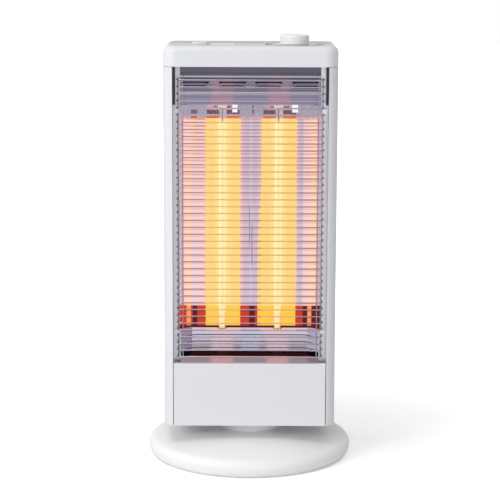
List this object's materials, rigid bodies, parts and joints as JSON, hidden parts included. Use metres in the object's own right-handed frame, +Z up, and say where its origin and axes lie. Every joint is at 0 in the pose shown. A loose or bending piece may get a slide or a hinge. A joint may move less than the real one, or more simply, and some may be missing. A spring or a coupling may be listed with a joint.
{
  "type": "graphite heater",
  "caption": "Upright graphite radiant heater with glowing quartz tubes before a polished reflector, a wire guard, a top knob and button, and a round base that it swings on.",
  "frame": {"origin": "on the table under the middle of the round base", "axes": "+Z up along the swing axis, front towards -Y, +X to the right as seen from the front"},
  "size_m": [0.305, 0.3048, 0.6325],
  "materials": {
    "white_plastic": "smooth, slightly glossy",
    "base_plastic": "smooth, slightly glossy",
    "dial_plastic": "light grey, smooth",
    "lens_plastic": "red, clear",
    "guard_chrome": "bright plated wire",
    "reflector_metal": "polished",
    "rail_metal": "bright",
    "quartz": "clear quartz glass",
    "graphite": "graphite, glowing orange",
    "white_ceramic": "unglazed",
    "zinc_steel": "zinc plated",
    "screw_steel": "plated",
    "weight_iron": "rough cast",
    "black_rubber": "matt",
    "black_plastic": "matt",
    "gear_plastic": "natural, self-lubricating"
  },
  "bodies": {
    "base": {"base_cover": "base_plastic", "base_plate": "zinc_steel", "rubber_feet": "black_rubber", "base_screws": "screw_steel", "base_weight": "weight_iron", "cord_bush": "black_rubber", "tip_switch": "black_plastic", "pivot_post": "zinc_steel", "neck_collar": "base_plastic", "slide_washer": "gear_plastic", "retaining_ring": "zinc_steel", "fixed_gear": "gear_plastic", "post_nut": "zinc_steel"},
    "heater_body": {"floor_pan": "zinc_steel", "swing_motor": "zinc_steel", "motor_standoffs": "zinc_steel", "motor_screws": "screw_steel", "right_column": "white_plastic", "left_column": "white_plastic", "rear_shell": "white_plastic", "front_panel": "white_plastic", "reflector": "reflector_metal", "ceiling_plate": "reflector_metal", "floor_plate": "reflector_metal", "left_quartz_tube": "quartz", "right_quartz_tube": "quartz", "left_graphite_element": "graphite", "right_graphite_element": "graphite", "upper_tube_ends": "white_ceramic", "lower_tube_ends": "white_ceramic", "chassis_plate": "zinc_steel", "chassis_screws": "screw_steel", "upper_tube_bracket": "zinc_steel", "lower_tube_bracket": "zinc_steel", "bracket_screws": "screw_steel", "left_rail": "rail_metal", "right_rail": "rail_metal", "front_guard": "guard_chrome", "guard_clips": "rail_metal", "terminal_block": "white_ceramic", "thermal_cutout": "zinc_steel", "top_cap": "white_plastic", "cap_screws": "screw_steel", "rear_screws": "screw_steel", "dial_ring": "dial_plastic", "rotary_switch": "black_plastic", "swing_switch": "black_plastic", "indicator_lens": "lens_plastic"},
    "pinion": {"motor_pinion": "gear_plastic"},
    "knob": {"power_knob": "white_plastic", "switch_shaft": "zinc_steel"},
    "button": {"swing_button": "white_plastic"},
    "plunger": {"tip_plunger": "black_plastic"}
  },
  "joints": [
    {"name": "oscillation", "type": "hinge", "parent": "base", "child": "heater_body", "pos_m": [0, 0, 0.0582], "axis": [0, 0, 1], "range_deg": [-35, 35]},
    {"name": "pinion_spin", "type": "hinge", "parent": "heater_body", "child": "pinion", "pos_m": [0, 0.03467, 0.072], "axis": [0, 0, 1], "range_deg": [-82, 82]},
    {"name": "power_knob", "type": "hinge", "parent": "heater_body", "child": "knob", "pos_m": [0.0637, -0.028, 0.62], "axis": [0, 0, 1], "range_deg": [0, 90]},
    {"name": "swing_button", "type": "slide", "parent": "heater_body", "child": "button", "axis": [0, 0, -1], "range_m": [0, 0.003], "stiffness_N_per_m": 300},
    {"name": "tip_plunger", "type": "slide", "parent": "base", "child": "plunger", "axis": [0, 0, 1], "range_m": [-0.005, 0], "stiffness_N_per_m": 60, "springref_m": -0.01}
  ],
  "couplings": [
    {"joint": "pinion_spin", "follows": "oscillation", "ratio": 2.2857}
  ]
}
